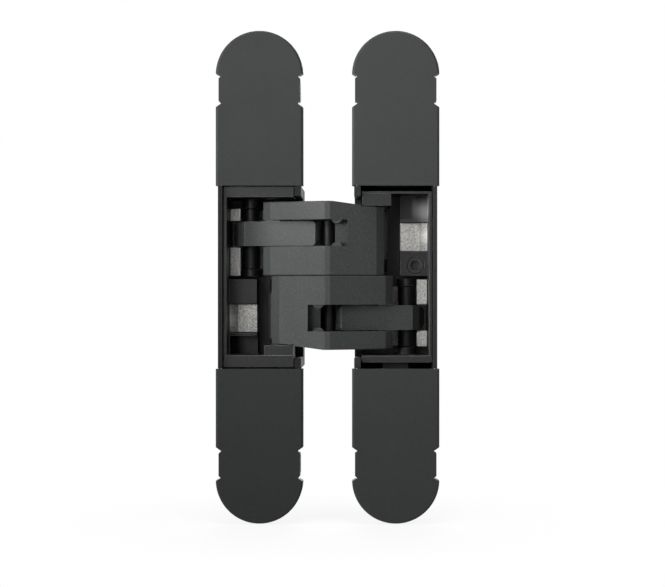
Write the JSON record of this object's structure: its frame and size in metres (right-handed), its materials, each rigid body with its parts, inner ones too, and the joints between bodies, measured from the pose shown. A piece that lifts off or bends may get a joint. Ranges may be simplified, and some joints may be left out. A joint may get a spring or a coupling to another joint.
{
  "type": "concealed door hinge",
  "caption": "Concealed three-way adjustable door hinge, shown open flat: two recessed housings with clip-on covers, crossed forked arms and links.",
  "frame": {"origin": "middle of the frame half's screw pattern, at the back of its wings", "axes": "+X from the frame half to the door half across the open hinge, +Y into the door frame, +Z along the pivot pins, up"},
  "size_m": [0.0608, 0.0307, 0.134],
  "materials": {
    "housing_black": "black powder coat on zinc die casting",
    "carrier_black": "black e-coat on zinc die casting",
    "arm_charcoal": "fine textured charcoal powder coat",
    "cover_charcoal": "fine matt",
    "pin_steel": "blackened, oiled",
    "screw_steel": "blackened",
    "bare_zinc": "bare cast, sandy"
  },
  "bodies": {
    "frame_half": {"housing_left": "housing_black", "clamp_screw_left": "screw_steel"},
    "frame_depth_screw": {"depth_screw": "screw_steel"},
    "frame_carrier": {"carrier_left": "carrier_black", "arm_pin_left": "pin_steel", "link_pin_left": "pin_steel", "wear_plate_left": "bare_zinc", "wedge_block_left": "bare_zinc"},
    "lower_arm": {"arm_lower": "arm_charcoal", "centre_pin": "pin_steel", "eye_pin_lower": "pin_steel"},
    "upper_arm": {"arm_upper": "arm_charcoal", "eye_pin_upper": "pin_steel"},
    "upper_link": {"link_upper": "arm_charcoal"},
    "lower_link": {"link_lower": "arm_charcoal"},
    "door_carrier": {"carrier_right": "carrier_black", "arm_pin_right": "pin_steel", "link_pin_right": "pin_steel", "wear_plate_right": "bare_zinc", "wedge_block_right": "bare_zinc", "lock_screw": "screw_steel"},
    "door_half": {"housing_right": "housing_black", "clamp_screw_right": "screw_steel"},
    "door_height_cam": {"height_cam": "screw_steel"},
    "frame_cover_upper": {"cover_left_upper": "cover_charcoal"},
    "frame_cover_lower": {"cover_left_lower": "cover_charcoal"},
    "door_cover_upper": {"cover_right_upper": "cover_charcoal"},
    "door_cover_lower": {"cover_right_lower": "cover_charcoal"}
  },
  "joints": [
    {"name": "depth_screw_turn", "type": "hinge", "parent": "frame_half", "child": "frame_depth_screw", "pos_m": [0, -0.0005, 0.0315], "axis": [0, 1, 0], "range_deg": [-540.01, 540.01]},
    {"name": "depth_shift", "type": "slide", "parent": "frame_half", "child": "frame_carrier", "axis": [0, 1, 0], "range_m": [-0.00075, 0.00075]},
    {"name": "fold", "type": "hinge", "parent": "frame_carrier", "child": "lower_arm", "pos_m": [0.00536, 0.00545, -0.01], "axis": [0, 0, 1], "range_deg": [-76.09, 0]},
    {"name": "arm_cross", "type": "hinge", "parent": "lower_arm", "child": "upper_arm", "pos_m": [0.01852, 0.00492, 0], "axis": [0, 0, 1], "range_deg": [-27.82, 0]},
    {"name": "door_carrier_pivot", "type": "hinge", "parent": "upper_arm", "child": "door_carrier", "pos_m": [0.03168, 0.00545, 0.01], "axis": [0, 0, 1], "range_deg": [-76.11, 0]},
    {"name": "upper_link_pivot", "type": "hinge", "parent": "frame_carrier", "child": "upper_link", "pos_m": [-0.00328, 0.0118, 0.012], "axis": [0, 0, 1], "range_deg": [-19.32, 0]},
    {"name": "lower_link_pivot", "type": "hinge", "parent": "door_carrier", "child": "lower_link", "pos_m": [0.04032, 0.0118, -0.011], "axis": [0, 0, 1], "range_deg": [0, 19.32]},
    {"name": "height_cam_turn", "type": "hinge", "parent": "door_half", "child": "door_height_cam", "pos_m": [0.03705, -0.0005, -0.0315], "axis": [0, 1, 0], "range_deg": [-30.01, 30.01]},
    {"name": "height_shift", "type": "slide", "parent": "door_carrier", "child": "door_half", "axis": [0, 0, 1], "range_m": [-0.0011, 0.0011]},
    {"name": "frame_cover_upper_pull", "type": "slide", "parent": "frame_half", "child": "frame_cover_upper", "axis": [0, -1, 0], "range_m": [0, 0.03]},
    {"name": "frame_cover_lower_pull", "type": "slide", "parent": "frame_half", "child": "frame_cover_lower", "axis": [0, -1, 0], "range_m": [0, 0.03]},
    {"name": "door_cover_upper_pull", "type": "slide", "parent": "door_half", "child": "door_cover_upper", "axis": [0, -1, 0], "range_m": [0, 0.03]},
    {"name": "door_cover_lower_pull", "type": "slide", "parent": "door_half", "child": "door_cover_lower", "axis": [0, -1, 0], "range_m": [0, 0.03]}
  ],
  "couplings": [
    {"joint": "depth_screw_turn", "follows": "depth_shift", "rad_per_m": -12566},
    {"joint": "arm_cross", "follows": "fold", "ratio": 0.36546},
    {"joint": "door_carrier_pivot", "follows": "fold", "ratio": 1},
    {"joint": "upper_link_pivot", "follows": "fold", "ratio": 0.2537},
    {"joint": "lower_link_pivot", "follows": "fold", "ratio": -0.2537},
    {"joint": "height_cam_turn", "follows": "height_shift", "rad_per_m": -476}
  ]
}
